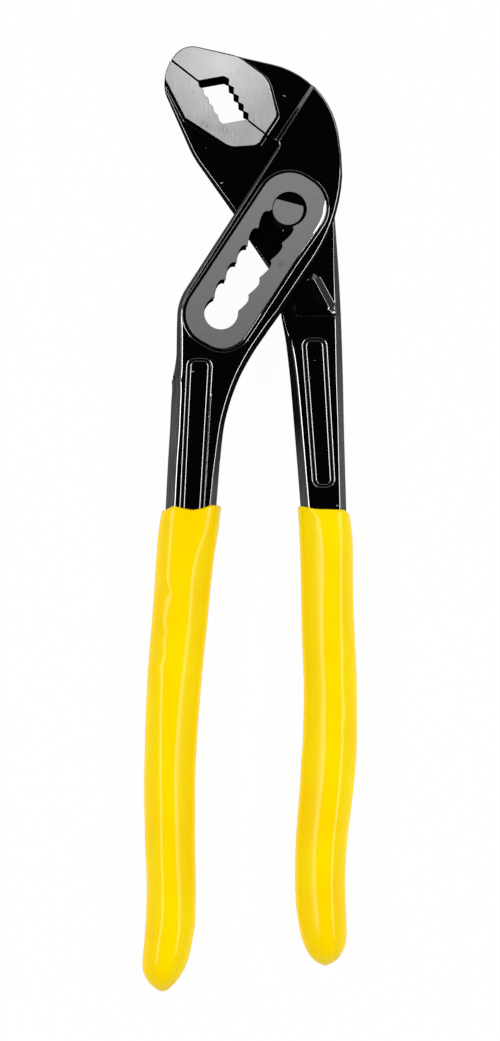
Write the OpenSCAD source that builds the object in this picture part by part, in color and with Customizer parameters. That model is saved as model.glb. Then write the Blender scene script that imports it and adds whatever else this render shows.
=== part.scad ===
// Water pump pliers with a box joint, a notched setting slot and dipped handles.
// The tool lies flat: jaws along +Y, handles along -Y, thickness along Z.
// The origin is on the pivot axis in the plane that the rear ground face rests on.

/* [Setting slot and pin] */
// Angle between the setting slot and the length of the tool, degrees
slot_tilt = 33; // [30:0.5:36]
// Number of pivot settings
notch_count = 7; // [5:1:7]
// Distance between two settings
notch_pitch = 5.4; // [5:0.1:5.6]
// Diameter of one notch
notch_d = 9; // [8.6:0.1:9.6]
// Width of the slot between two notches
neck_w = 7.5; // [7.2:0.1:7.8]
// Play all round between the pin's ends and a notch
pin_play = 0.32; // [0.2:0.02:0.5]
// Play between the neck and each guide flat of the pin
guide_play = 0.1; // [0.05:0.01:0.2]
// Distance of the pin's locking flat from its axis
flat_reach = 2.25; // [1.8:0.05:3]
// Direction in which the locking flat faces, degrees from +X
flat_turn = 74; // [60:1:90]
// How far the pin's shank stands out beyond a notch, which keeps it captive
pin_shoulder = 0.3; // [0.2:0.05:0.6]
// Radial running clearance of the shank in the lower half
shank_fit = 0.03; // [0.01:0.01:0.1]
// End float of the shank between the cheeks, each side
shank_float = 0.1; // [0.05:0.01:0.15]

/* [Thickness] */
// Thickness over the ground faces of the box
box_t = 13; // [12.4:0.1:14]
// Thickness over the cheeks and the bare handles
body_t = 10.6; // [10.2:0.1:11.4]
// Thickness of the upper jaw behind its ground face
jaw_t = 8.4; // [7.6:0.1:9.4]
// Thickness over the ground jaw faces
pad_t = 10; // [9.6:0.1:10.6]
// Thickness of the lower half's tongue inside the box
web_t = 6; // [5:0.1:6.6]
// Clearance between the tongue and each cheek
web_gap = 0.15; // [0.1:0.01:0.25]
// Draft of the forged handle sides, from the parting plane to the face
draft = 1.3; // [0.8:0.1:1.8]

/* [Box] */
// Width of the ground oblong round the slot
boss_w = 19.3; // [17:0.1:20]
// Distance from the slot's axis to the open mouth side of the box
box_left = 11.1; // [10.8:0.1:12]
// Distance from the slot's axis to the handle side of the box
box_right = 13.2; // [12.6:0.1:13.6]
// Radius where the mouth side turns into the upper handle
shoulder_r = 14; // [8:1:20]
// Clearance of the tongue's sweep inside the box
sweep_gap = 0.4; // [0.3:0.05:0.6]
// Radius of the cavity's end behind the upper jaw
cavity_r = 17.4; // [17:0.1:17.8]
// Radius of the cavity's end in the upper handle
cavity_end_r = 21.2; // [20.8:0.1:22]

/* [Jaws] */
// Distance from the slot's axis to the jaw tips
jaw_reach = 47.6; // [44:0.2:50]
// Height of the parting line above the pin, on the slot's axis
parting_h = 12.5; // [12:0.1:13]
// Rise of the parting line towards the tips, degrees
parting_tilt = 5.2; // [4:0.1:6]
// Gap between the closed jaws
parting_gap = 0.3; // [0.2:0.05:0.5]
// Depth of the upper jaw at its tip
upper_tip_h = 4.7; // [4:0.1:6]
// Radius of the upper tip
upper_tip_r = 6; // [3:0.5:6]
// Slope of the upper jaw's back, degrees to the square of the slot
upper_slope = 20.7; // [18:0.1:22]
// Distance from the slot's axis to the heel end of the step between jaw and cheek
step_heel = 13.4; // [12:0.1:15]
// Distance from the slot's axis to the crown end of that step
step_crown = 11.4; // [10:0.1:13]
// Distance of the crown's corner from the slot's axis
crown_reach = 11; // [9:0.5:13]
// Radius of the crown
crown_r = 23; // [15:1:23]
// Slope of the knuckle behind the crown, degrees
knuckle_slope = 47; // [46:0.5:50]
// Radius of the knuckle
knuckle_r = 44; // [25:1:44]
// Depth of the lower jaw at its tip
lower_tip_h = 6.7; // [6:0.1:8]
// How far the lower tip's corner falls back from the upper tip
lower_tip_back = 0.9; // [0.5:0.1:1.5]
// Radius of the lower tip
lower_tip_r = 4.4; // [2:0.2:5]
// Slope of the lower jaw's back near its tip, degrees
lower_slope = 31.5; // [29:0.5:33]
// Distance of the bend in the lower jaw's back from the slot's axis
bend_reach = 29.3; // [26:0.1:32]
// Slope of the lower jaw's back near the box, degrees
throat_slope = 22.3; // [21:0.1:24]

/* [Ground jaw faces] */
// Distance from the slot's axis to the heel of the ground faces
pad_heel = 16.2; // [15.5:0.1:18]
// Depth of the upper ground face from the parting line
upper_pad_h = 12.2; // [9:0.1:12.5]
// Depth of the lower ground face from the parting line
lower_pad_h = 9; // [7:0.1:9.5]
// Radius of the ground faces at the heel
pad_r = 6; // [3:0.5:6]
// Lean of the ground faces' back edges over their length
pad_lean = 0.8; // [0.4:0.1:1.2]
// Length of the lower ground face's lean, beyond the bend of the jaw's back
pad_bend = 8; // [6:0.5:9]
// Width of the land between the lower ground face and the jaw's back
lower_land = 1.3; // [0.8:0.1:2]

/* [Pipe opening] */
// Distance from the slot's axis to the outer corner of the opening
pipe_reach = 38.7; // [37:0.1:40]
// Length of the opening along the parting line
pipe_len = 16.6; // [15:0.1:18]
// Depth of the opening in each jaw
pipe_depth = 4.6; // [4.2:0.1:5]
// Lead of the deepest corner along the parting line
pipe_lead = 4.9; // [4:0.1:6]
// Number of teeth on the long side
tooth_count = 5; // [3:1:7]
// Depth of the upper jaw's teeth
upper_tooth = 0.9; // [0.4:0.1:1.2]
// Depth of the lower jaw's teeth
lower_tooth = 0.5; // [0.3:0.1:0.9]

/* [Tongue and guard] */
// Radius of the tongue round the pin
eye_r = 12.6; // [12:0.1:13]
// How far the heel of the lower jaw ends outside the box
heel_set = 1.8; // [1.4:0.1:2.4]
// Drop of the tongue's edge between that heel and the eye round the pin
heel_drop = 1.6; // [1.2:0.1:2.4]
// Distance of the guard from the box, which keeps the handles apart
guard_gap = 1.1; // [0.8:0.1:1.5]
// Distance along the slot from the pin to the guard's upper corner
guard_start = 9.7; // [9:0.1:10.5]
// Length of the guard along the box
guard_len = 10.9; // [10:0.1:11.5]
// How much further the guard's foot stands off the box
guard_lean = 1.2; // [0.8:0.1:1.6]
// Width of the guard across its foot
guard_w = 10; // [8:0.1:10.5]
// Radius of the guard's corners
guard_r = 1.6; // [1:0.1:1.8]
// Height of the guard's face below the handle face
guard_step = 0.5; // [0.3:0.1:1]
// Distance along the slot from the guard's foot to the lower handle's top
arm_step = 2.6; // [2.2:0.1:3.2]

/* [Handles] */
// Distance from the pin to the sleeves' lips, along the tool
bare_len = 79.5; // [76:0.5:90]
// Length of the left sleeve
left_grip_len = 128.8; // [110:0.2:140]
// Length of the right sleeve
right_grip_len = 121.7; // [105:0.1:135]
// Thickness over the sleeves
grip_t = 13; // [12.4:0.1:13]
// Wall of the dipped sleeves
grip_wall = 1.25; // [0.8:0.05:1.6]
// Room between a sleeve and its tang
grip_gap = 0.05; // [0.02:0.01:0.1]
// Length of a sleeve's rounded end
grip_dome = 9; // [6:0.5:12]
// Length over which a bare handle narrows to its tang at the lip
lip_blend = 0.3; // [0.2:0.1:1]
// Depth of the recessed panels in the handle faces
panel_depth = 0.6; // [0.3:0.1:0.8]
// Width of the recessed panels
panel_w = 6.2; // [5:0.1:7]
// Distance from the top of a handle to its panel
panel_inset = 3.2; // [2.5:0.1:6]
// Distance from the right panel's end to the sleeve's lip
panel_foot = 6; // [4:0.5:10]

/* [Hidden] */
lacquer = "#151515";
ground_steel = "#8a8a8a";
dipped_vinyl = "#ffdd00";
circle_steps = 72;
arc_step = 9;
grip_sides = 20;
ring_pitch = 4.5;
dome_rings = 7;
dome_start = 0.2;
corner_power = 0.55;
past = 1;
far = 90;

travel = (notch_count - 1) * notch_pitch;
mid_z = box_t / 2;
pin_end_d = notch_d - 2 * pin_play;
shank_d = notch_d + 2 * pin_shoulder;
bore_d = shank_d + 2 * shank_fit;
guide_w = neck_w - 2 * guide_play;
cavity_t = web_t + 2 * web_gap;

// A point [x, y, r] of the slot's frame, in which the slot runs along -Y, in the tool's frame
function from_slot(p) = [p.x * cos(slot_tilt) + p.y * sin(slot_tilt),
                         p.y * cos(slot_tilt) - p.x * sin(slot_tilt),
                         p[2]];
function parting(x) = parting_h - x * tan(parting_tilt);
slot_end = from_slot([0, -travel, 0]);

function unit(v) = v / norm(v);
// The arc that rounds corner b between a and d, or b itself where its radius is 0
function corner_arc(a, b, d) =
    let (u = unit([a.x - b.x, a.y - b.y]), v = unit([d.x - b.x, d.y - b.y]), r = b[2])
    r == 0 ? [[b.x, b.y]] :
    let (half = acos(u * v) / 2,
         centre = [b.x, b.y] + unit(u + v) * r / sin(half),
         start = [b.x, b.y] + u * r / tan(half) - centre,
         turn = (u.x * v.y - u.y * v.x < 0 ? 1 : -1) * (180 - 2 * half),
         steps = max(2, ceil(abs(turn) / arc_step)))
    [for (k = [0 : steps]) let (a = turn * k / steps)
        centre + [start.x * cos(a) - start.y * sin(a), start.x * sin(a) + start.y * cos(a)]];
// An outline of corners [x, y, r] with each corner rounded to its radius r
function rounded(c) = let (n = len(c))
    [for (i = [0 : n - 1]) each corner_arc(c[(i + n - 1) % n], c[i], c[(i + 1) % n])];

// A smooth curve through rows [share, value, value]: column c at a share from 0 to 1
function row(t, s) = max([for (i = [0 : len(t) - 2]) if (i == 0 || t[i][0] <= s) i]);
function slope(t, i, c) = let (a = max(i - 1, 0), b = min(i + 1, len(t) - 1))
    (t[b][c] - t[a][c]) / (t[b][0] - t[a][0]);
function smooth(t, s, c) =
    let (i = row(t, s), h = t[i + 1][0] - t[i][0], u = (s - t[i][0]) / h)
    t[i][c] * (1 + 2 * u) * pow(1 - u, 2) + t[i + 1][c] * u * u * (3 - 2 * u)
    + h * (slope(t, i, c) * u * pow(1 - u, 2) - slope(t, i + 1, c) * u * u * (1 - u));

// Handle shapes: share of the run, centre line's x and width.
// The left ones are placed from the slot's last setting and the right ones from the pin.
left_arm = [[0, -1.25, 21.75], [0.124, -3.25, 19], [0.27, -5, 16.7],
            [0.416, -6.05, 15.1], [0.634, -7.05, 13.95], [1, -8.05, 13.4]];
right_arm = [[0, 7.3, 13.3], [0.066, 6.9, 14.3], [0.123, 6.7, 15],
             [0.34, 7.55, 14], [0.63, 8.35, 13.1], [1, 9.35, 12.2]];
left_grip_line = [[0, -8.05, 15.9], [0.1, -9.6, 15.4], [0.25, -11.3, 14.8], [0.4, -12.8, 14.3],
                  [0.575, -13.75, 13.5], [0.725, -13.45, 13.2], [0.85, -13.4, 13.2],
                  [0.925, -14.6, 12.6], [1, -15.5, 12]];
right_grip_line = [[0, 10, 14.2], [0.185, 10.7, 13.8], [0.395, 11.65, 14], [0.5, 11.5, 14.3],
                   [0.605, 10.7, 14.3], [0.71, 9.4, 13.8], [0.815, 8.9, 13.2], [0.9, 9.4, 12.9],
                   [1, 10.1, 12.4]];
left_panel = [-5.4, -7.8];
right_panel = [6.7, 9.8];
panel_round = 0.9;
// The upper handle starts under the foot of the ground oblong, and the lower one below the guard
arm_tuck = 0.4;
left_top = boss_w / 2 - slot_end.y - arm_tuck;
guard_foot = guard_start + guard_len;
right_top = -from_slot([box_right + guard_gap, -guard_foot - arm_step, 0]).y;

// A closed solid through convex rings of points
module loft(rings) {
    n = len(rings[0]);
    m = len(rings);
    sides = [for (i = [0 : m - 2]) for (j = [0 : n - 1]) let (k = (j + 1) % n)
        each [[i * n + j, (i + 1) * n + k, (i + 1) * n + j], [i * n + j, i * n + k, (i + 1) * n + k]]];
    top = [for (j = [1 : n - 2]) [0, j + 1, j]];
    foot = [for (j = [1 : n - 2]) [(m - 1) * n, (m - 1) * n + j, (m - 1) * n + j + 1]];
    polyhedron(points = [for (r = rings) each r], faces = concat(sides, top, foot));
}

// One drafted section of a bare handle, widest at the parting plane
function bar_ring(x, y, w, t, d) = let (a = w / 2, b = w / 2 - d, h = t / 2)
    [[x - a, y, 0], [x - b, y, h], [x + b, y, h], [x + a, y, 0], [x + b, y, -h], [x - b, y, -h]];
// One section of a sleeve: an oblong with soft corners
function soft(v) = sign(v) * pow(abs(v), corner_power);
function grip_ring(x, y, w, t) =
    [for (k = [0 : grip_sides - 1]) let (a = 180 - 360 * (k + 0.5) / grip_sides)
        [x + w / 2 * soft(cos(a)), y, t / 2 * soft(sin(a))]];

// The bare handle from its top to the sleeve's lip, then the tang inside the sleeve
module handle(top, x0, arm, grip, grip_len) {
    arm_rings = [for (r = arm)
        bar_ring(x0 + r[1], -top - r[0] * (bare_len - lip_blend - top), r[2], body_t, draft)];
    loft(concat(arm_rings, tang_rings(x0, grip, grip_len, 0)));
}
function tang_rings(x0, grip, grip_len, gap) =
    let (tang_len = grip_len - grip_dome, steps = ceil(tang_len / ring_pitch))
    [for (k = [0 : steps]) let (d = k / steps * tang_len + (k == steps ? gap : 0))
        bar_ring(x0 + smooth(grip, d / grip_len, 1), -bare_len - d,
                 smooth(grip, d / grip_len, 2) - 2 * grip_wall + 2 * gap, tang_t + 2 * gap, draft)];
tang_t = min(body_t, grip_t - 2 * grip_wall);

// A dipped sleeve: the outer form, rounded to a blunt end, less the tang
module sleeve(x0, grip, grip_len) {
    body_len = grip_len - grip_dome;
    steps = ceil(body_len / ring_pitch);
    body = [for (k = [0 : steps]) [k / steps * body_len, 1]];
    dome = [for (k = [1 : dome_rings]) let (a = 90 * k / dome_rings)
        [body_len + grip_dome * sin(a), max(cos(a), dome_start)]];
    difference() {
        loft([for (p = concat(body, dome)) let (s = p[0] / grip_len)
            grip_ring(x0 + smooth(grip, s, 1), -bare_len - p[0],
                      smooth(grip, s, 2) * p[1], grip_t * p[1])]);
        pocket(x0, grip, grip_len);
    }
}
module pocket(x0, grip, grip_len) {
    rings = tang_rings(x0, grip, grip_len, grip_gap);
    lip = [for (p = rings[0]) p + [0, past, 0]];
    loft(concat([lip], rings));
}

module plate(t) {
    translate([0, 0, -t / 2]) linear_extrude(t) children();
}
module in_slot_frame() {
    rotate(-slot_tilt) children();
}
// Both faces of a feature that stands on, or is cut into, the two sides alike
module both_faces() {
    children();
    mirror([0, 0, 1]) children();
}

// Outline of the upper half's head, down into the upper handle
crown_y = parting(-jaw_reach) + upper_tip_h + (jaw_reach - crown_reach) * tan(upper_slope);
knuckle_y = crown_y - (crown_reach + box_right) * tan(knuckle_slope);
box_lap = 2;
box_foot = -left_top - box_lap;
arm_left = slot_end.x + left_arm[0][1] - left_arm[0][2] / 2 + draft / 2;
turn_y = (arm_left + box_left * cos(slot_tilt)) / sin(slot_tilt);
foot_y = (box_foot + box_right * sin(slot_tilt)) / cos(slot_tilt);
module head_outline() {
    polygon(rounded([
        from_slot([-jaw_reach, parting(-jaw_reach), 0]),
        from_slot([-box_left, parting(-box_left), 0]),
        from_slot([-box_left, turn_y, shoulder_r]),
        [arm_left, box_foot, 0],
        from_slot([box_right - draft / 2, foot_y, 0]),
        from_slot([box_right, -travel, 0]),
        from_slot([box_right, knuckle_y, knuckle_r]),
        from_slot([-crown_reach, crown_y, crown_r]),
        from_slot([-jaw_reach, parting(-jaw_reach) + upper_tip_h, upper_tip_r])]));
}
// The cheeks: everything behind the step that crosses the knuckle
module cheek_outline() {
    intersection() {
        head_outline();
        polygon([for (p = [[-step_heel, parting_h], [-step_heel, 0], [-far, -far], [far, -far], [far, far],
                           [-step_crown, far], [-step_crown, crown_y]])
            let (q = from_slot([p.x, p.y, 0])) [q.x, q.y]]);
    }
}
module upper_pad_outline() {
    h = parting(-pad_heel) + upper_pad_h;
    intersection() {
        head_outline();
        polygon(rounded([
            from_slot([-pad_heel, 0, 0]),
            from_slot([-pad_heel, h - pad_r, pad_r / 2]),
            from_slot([-pad_heel - pad_r, h, pad_r]),
            from_slot([-jaw_reach, h + pad_lean, 0]),
            from_slot([-far, 0, 0])]));
    }
}

// The oblong round the slot, the notched slot itself and the room for the tongue
module oblong(d, t) {
    for (y = [0, -travel]) translate([0, y, -t / 2]) cylinder(d = d, h = t, $fn = circle_steps);
    translate([-d / 2, -travel, -t / 2]) cube([d, travel, t]);
}
module notched_slot() {
    t = box_t + 2 * past;
    for (i = [0 : notch_count - 1]) translate([0, -i * notch_pitch, -t / 2])
        cylinder(d = notch_d, h = t, $fn = circle_steps);
    translate([-neck_w / 2, -travel, -t / 2]) cube([neck_w, travel, t]);
}
module cavity() {
    in_slot_frame() {
        translate([0, 0, -cavity_t / 2]) cylinder(r = cavity_r, h = cavity_t, $fn = circle_steps);
        translate([0, -travel, -cavity_t / 2]) cylinder(r = cavity_end_r, h = cavity_t, $fn = circle_steps);
        translate([-far / 2, -travel, -cavity_t / 2]) cube([far, travel, cavity_t]);
    }
    translate([slot_end.x - sweep_gap, slot_end.y - sweep_gap, 0]) plate(cavity_t)
        polygon([[0, 0], [throat.x, throat.y], crotch, tongue_corner, [far, tongue_foot], [far, 0]]);
}

// The pipe opening's half in one jaw, with its row of teeth on the long side
module pipe_half(side, tooth) {
    a = [-pipe_reach, parting(-pipe_reach)];
    c = [-pipe_reach + pipe_len, parting(-pipe_reach + pipe_len)];
    b = side > 0 ? a + [pipe_lead, pipe_depth] : c - [pipe_lead, pipe_depth];
    from = side > 0 ? b : a;
    to = side > 0 ? c : b;
    step = (to - from) / tooth_count;
    out = side * unit([-step.y, step.x]) * tooth;
    teeth = [for (i = [0 : tooth_count - 1]) each [from + step * i, from + step * (i + 0.5) + out]];
    back = [0, -side * past];
    path = side > 0 ? concat([a], teeth, [c, c + back, a + back])
                    : concat(teeth, [b, c, c + back, a + back]);
    polygon([for (p = path) let (q = from_slot([p.x, p.y, 0])) [q.x, q.y]]);
}

// Outline of the lower half's jaw and tongue
lower_reach = jaw_reach - lower_tip_back;
bend_y = parting(-jaw_reach) - lower_tip_h - (lower_reach - bend_reach) * tan(lower_slope);
throat_x = 1.4;
throat = from_slot([throat_x, bend_y - (bend_reach + throat_x) * tan(throat_slope), eye_r]);
// The tongue laps down into the lower handle, whose left side it follows as a thin flange
tongue_lap = 11;
tongue_foot = -right_top - tongue_lap;
crotch_drop = 0.9;
crotch = [-1.6, -right_top - crotch_drop];
tongue_corner = [-0.3, tongue_foot];
flank = right_arm[2][1] + right_arm[2][2] / 2;
module tongue_outline() {
    polygon(rounded([
        from_slot([-jaw_reach, parting(-jaw_reach) - parting_gap, 0]),
        from_slot([-lower_reach, parting(-jaw_reach) - lower_tip_h, lower_tip_r]),
        from_slot([-bend_reach, bend_y, bend_reach]),
        throat,
        [crotch.x, crotch.y, 0],
        [tongue_corner.x, tongue_corner.y, 0],
        [flank, tongue_foot, 0],
        [eye_r, 0, 0],
        [0, 0, 0],
        from_slot([-box_left / 2, eye_r - heel_drop, 0]),
        from_slot([-box_left - heel_set, parting(-box_left) - parting_gap, 0])]));
    circle(r = eye_r, $fn = circle_steps);
}
module lower_pad_outline() {
    h = parting(-pad_heel) - lower_pad_h;
    intersection() {
        tongue_outline();
        polygon(rounded([
            from_slot([-pad_heel, far, 0]),
            from_slot([-far, far, 0]),
            from_slot([-far, bend_y + lower_land + (far - bend_reach) * tan(lower_slope), 0]),
            from_slot([-bend_reach - pad_bend, h + pad_lean, pad_r / 2]),
            from_slot([-pad_heel - pad_r, h, pad_r]),
            from_slot([-pad_heel, h + pad_r, pad_r / 2])]));
    }
}
// The raised guard between the box and the lower handle
module guard_outline() {
    top = from_slot([box_right + guard_gap, -guard_start, guard_r]);
    foot = from_slot([box_right + guard_gap + guard_lean, -guard_foot, guard_r]);
    polygon(rounded([top, foot, foot + [guard_w, 0, 0]]));
}

// A recessed panel in a handle's face, between two ends on its centre line
module panel(a, b) {
    h = panel_w / 2;
    r = h * panel_round;
    translate([0, 0, body_t / 2 - panel_depth]) linear_extrude(panel_depth + past)
        polygon(rounded([[a.x - h, a.y, r], [b.x - h, b.y, r], [b.x + h, b.y, r], [a.x + h, a.y, r]]));
}

module upper_jaw_half() {
    color(lacquer) translate([0, 0, mid_z]) difference() {
        union() {
            plate(jaw_t) head_outline();
            plate(body_t) cheek_outline();
            plate(pad_t) upper_pad_outline();
            in_slot_frame() oblong(boss_w, box_t);
            handle(left_top, slot_end.x, left_arm, left_grip_line, left_grip_len);
        }
        cavity();
        in_slot_frame() notched_slot();
        plate(far) pipe_half(1, upper_tooth);
        both_faces() panel([slot_end.x + left_panel.x, -left_top - panel_inset],
                           [slot_end.x + left_panel.y, -bare_len + lip_blend]);
    }
}

module lower_jaw_half() {
    color(lacquer) translate([0, 0, mid_z]) difference() {
        union() {
            plate(web_t) tongue_outline();
            plate(pad_t) lower_pad_outline();
            plate(body_t - 2 * guard_step) guard_outline();
            handle(right_top, 0, right_arm, right_grip_line, right_grip_len);
        }
        translate([0, 0, -far / 2]) cylinder(d = bore_d, h = far, $fn = circle_steps);
        plate(far) pipe_half(-1, lower_tooth);
        both_faces() panel([right_panel.x, -right_top - 2 * panel_inset],
                           [right_panel.y, -bare_len + panel_foot]);
    }
}

// The pin: a round shank held between the cheeks and flatted ends that run in the slot
module pivot_pin() {
    color(ground_steel) translate([0, 0, mid_z]) {
        shank_t = cavity_t - 2 * shank_float;
        translate([0, 0, -shank_t / 2]) cylinder(d = shank_d, h = shank_t, $fn = circle_steps);
        intersection() {
            translate([0, 0, -mid_z]) cylinder(d = pin_end_d, h = box_t, $fn = circle_steps);
            in_slot_frame() cube([guide_w, far, far], center = true);
            rotate(flat_turn) translate([flat_reach - far, -far / 2, -far / 2]) cube(far);
        }
    }
}

module left_grip() {
    color(dipped_vinyl) translate([0, 0, mid_z])
        sleeve(slot_end.x, left_grip_line, left_grip_len);
}

module right_grip() {
    color(dipped_vinyl) translate([0, 0, mid_z])
        sleeve(0, right_grip_line, right_grip_len);
}

upper_jaw_half();
lower_jaw_half();
pivot_pin();
left_grip();
right_grip();
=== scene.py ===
"""Water pump pliers with a box joint, lying closed on a pale floor and seen from straight above."""
import bpy
import numpy as np
from mathutils.geometry import delaunay_2d_cdt
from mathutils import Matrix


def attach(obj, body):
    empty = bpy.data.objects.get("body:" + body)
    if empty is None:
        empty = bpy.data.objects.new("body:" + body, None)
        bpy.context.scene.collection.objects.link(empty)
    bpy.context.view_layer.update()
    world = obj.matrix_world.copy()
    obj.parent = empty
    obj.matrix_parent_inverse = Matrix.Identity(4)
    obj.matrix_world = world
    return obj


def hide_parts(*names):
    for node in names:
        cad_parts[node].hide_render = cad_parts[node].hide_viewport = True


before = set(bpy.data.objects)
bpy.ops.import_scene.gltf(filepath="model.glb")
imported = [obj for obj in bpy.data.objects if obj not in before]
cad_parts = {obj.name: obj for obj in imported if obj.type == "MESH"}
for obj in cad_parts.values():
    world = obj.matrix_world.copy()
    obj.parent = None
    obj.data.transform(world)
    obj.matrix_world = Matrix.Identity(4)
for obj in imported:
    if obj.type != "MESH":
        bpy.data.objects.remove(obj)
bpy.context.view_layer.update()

# Upper half: one steel forging with the upper jaw, the knuckle, the slotted box and the left handle.
# It is dipped in black lacquer, then its jaw face and the oblong round the slot are ground bright.
# All sizes are in millimetres. The slot's own frame has the pin at 0, 0 and the slot along -y.
mm, metre = 0.001, 1000
slot_tilt = np.radians(33)
parting_plane = 6.5
# Points nearer than weld become one, and a point nearer than on_line lies on a line
weld, on_line = 1e-3, 2e-3


def from_slot(p):
    """Points of the slot's frame, turned clockwise by the slot's tilt into the tool's frame."""
    x, y = np.atleast_2d(np.asarray(p, float)).T
    return np.stack([x * np.cos(slot_tilt) + y * np.sin(slot_tilt),
                     y * np.cos(slot_tilt) - x * np.sin(slot_tilt)], 1)


def arc(r, a):
    """Points at the angles a on a circle of radius r about 0, 0."""
    return np.stack([r * np.cos(a), r * np.sin(a)], 1)


def unit(v):
    """Vectors brought to length 1."""
    return v / np.maximum(np.linalg.norm(v, axis=-1, keepdims=True), 1e-9)


def rounded(corners, steps=11):
    """Closed outline through corners (x, y, radius, ...).

    Each corner becomes the arc of its radius that touches both of its sides: the arc's centre lies on the
    bisector, at radius / sin(half angle). Further columns are carried along. A radius of 0 keeps the corner.
    """
    c = np.asarray(corners, float)
    b, r = c[:, :2], c[:, 2]
    u, v = unit(np.roll(b, 1, 0) - b), unit(np.roll(b, -1, 0) - b)
    half = np.maximum(np.arccos(np.clip((u * v).sum(1), -1, 1)) / 2, 1e-3)
    centre = b + unit(u + v) * (r / np.sin(half))[:, None]
    start = b + u * (r / np.tan(half))[:, None] - centre
    turn = np.where(u[:, 0] * v[:, 1] - u[:, 1] * v[:, 0] < 0, 1, -1) * (np.pi - 2 * half)
    a = turn[:, None] * np.linspace(0, 1, steps)
    bend = np.stack([start[:, :1] * np.cos(a) - start[:, 1:] * np.sin(a),
                     start[:, :1] * np.sin(a) + start[:, 1:] * np.cos(a)], 2) + centre[:, None]
    bend = np.where(r[:, None, None] > 0, bend, b[:, None])
    rest = np.repeat(c[:, None, 3:], steps, 1)
    out = np.concatenate([bend, rest], 2).reshape(len(c) * steps, -1)
    return out[np.linalg.norm(out[:, :2] - np.roll(out[:, :2], 1, 0), axis=1) > weld]


def smooth(table, y):
    """Columns of a table at places y: a cubic through its rows that never overshoots them.

    The slope at a row is the harmonic mean of the slopes on either side, or 0 at a turning point.
    """
    t = np.asarray(table, float)
    t = t[np.argsort(t[:, 0])]
    k, v = t[:, 0], t[:, 1:]
    d = np.diff(v, axis=0) / np.diff(k)[:, None]
    turning = d[:-1] * d[1:] <= 0
    m = np.where(turning, 0, 2 * d[:-1] * d[1:] / np.where(turning, 1, d[:-1] + d[1:]))
    m = np.concatenate([d[:1], m, d[-1:]])
    y = np.clip(y, k[0], k[-1])
    i = np.clip(np.searchsorted(k, y) - 1, 0, len(k) - 2)
    h = k[i + 1] - k[i]
    u = ((y - k[i]) / h)[:, None]
    h = h[:, None]
    return ((1 + 2 * u) * (1 - u) ** 2 * v[i] + u ** 2 * (3 - 2 * u) * v[i + 1]
            + h * u * (1 - u) ** 2 * m[i] - h * u ** 2 * (1 - u) * m[i + 1])


def ramp(t, soft=0.25):
    """0 below 0 and 1 above 1, with a straight slope between that a parabola rounds off at either end."""
    t = np.clip(t, 0, 1)
    m = np.minimum(t, 1 - t)
    h = np.where(m < soft, m * m / (2 * soft * (1 - soft)), (m - soft / 2) / (1 - soft))
    return np.where(t < 0.5, h, 1 - h)


# Points times sides that are worked out in one go
pairs_at_once = 2_000_000


def reach(p, loop):
    """Distance of points from a closed loop, with the loop's further columns at the nearest place.

    The nearest place on a side is the point's foot on the side's line, kept between the side's two ends.
    """
    a, b = loop, np.roll(loop, -1, 0)
    ab = b[:, :2] - a[:, :2]
    out = []
    for q in np.array_split(p, max(1, len(p) * len(a) // pairs_at_once)):
        t = np.clip(((q[:, None] - a[:, :2]) * ab).sum(2) / np.maximum((ab ** 2).sum(1), 1e-12), 0, 1)
        d = np.hypot(*np.moveaxis(q[:, None] - a[:, :2] - t[..., None] * ab, 2, 0))
        i = d.argmin(1)
        row = np.arange(len(q))
        f = t[row, i][:, None]
        out.append(np.column_stack([d[row, i], a[i, 2:] * (1 - f) + b[i, 2:] * f]))
    return np.concatenate(out)


def inside(p, loop):
    """True for points inside a loop: a ray to +x crosses it an odd number of times."""
    a, b = loop[:, :2], np.roll(loop[:, :2], -1, 0)
    out = []
    for q in np.array_split(p, max(1, len(p) * len(a) // pairs_at_once)):
        x, y = q[:, :1], q[:, 1:2]
        dy = np.where(a[:, 1] == b[:, 1], 1, b[:, 1] - a[:, 1])
        cross = a[:, 0] + (y - a[:, 1]) * (b[:, 0] - a[:, 0]) / dy
        out.append((((a[:, 1] > y) != (b[:, 1] > y)) & (x < cross)).sum(1) % 2 == 1)
    return np.concatenate(out)


def depth(p, loop):
    """Signed distance from a loop, positive inside, with the loop's further columns at the nearest place."""
    near = reach(p, loop)
    near[:, 0] *= np.where(inside(p, loop), 1, -1)
    return near.T


def inset(loop, d):
    """A counter-clockwise loop moved inwards by d along the mean normal of its two sides at each point."""
    p = loop[:, :2]
    t0, t1 = unit(p - np.roll(p, 1, 0)), unit(np.roll(p, -1, 0) - p)
    n = unit(np.stack([-(t0 + t1)[:, 1], (t0 + t1)[:, 0]], 1))
    stretch = np.clip((n * np.stack([-t0[:, 1], t0[:, 0]], 1)).sum(1), 0.5, 1)
    return p + n * (d / stretch)[:, None]


def closed(loop):
    """A loop as a line that ends where it starts."""
    return np.concatenate([loop, loop[:1]])


edge_most = 0.6


def side(d, lean, edge, face):
    """Height of a forged side at distance d inside its outline.

    A straight wall leans in by `lean` from the parting plane to the face, and turns into the face in an arc of
    radius `edge` that touches both. The arc takes up at most edge_most of the height.
    """
    lean, edge = np.maximum(lean, 1e-4), np.minimum(edge, face * edge_most)
    slope = np.arctan2(lean, face)
    touch = edge * np.tan((np.pi / 2 - slope) / 2)
    bend = face - edge + np.sqrt(np.maximum(edge ** 2 - (lean + touch - d) ** 2, 0))
    wall = d < lean - touch * np.sin(slope)
    return np.where(wall, d * face / lean, np.where(d < lean + touch, bend, face))


# Finishes of a forging's faces, in the order of its material slots
lacquered, outer_side, dull_black, jaw_bright, boss_bright, inner_side = range(6)
# A wall that leans less than `straight` is a sawn cut. Rims stay black for a little way in from the edge.
room_half, straight, edge_rows = 3.15, 0.05, 6
cut_rim, edge_rim, rim_share = 0.18, 0.3, 0.75
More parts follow.
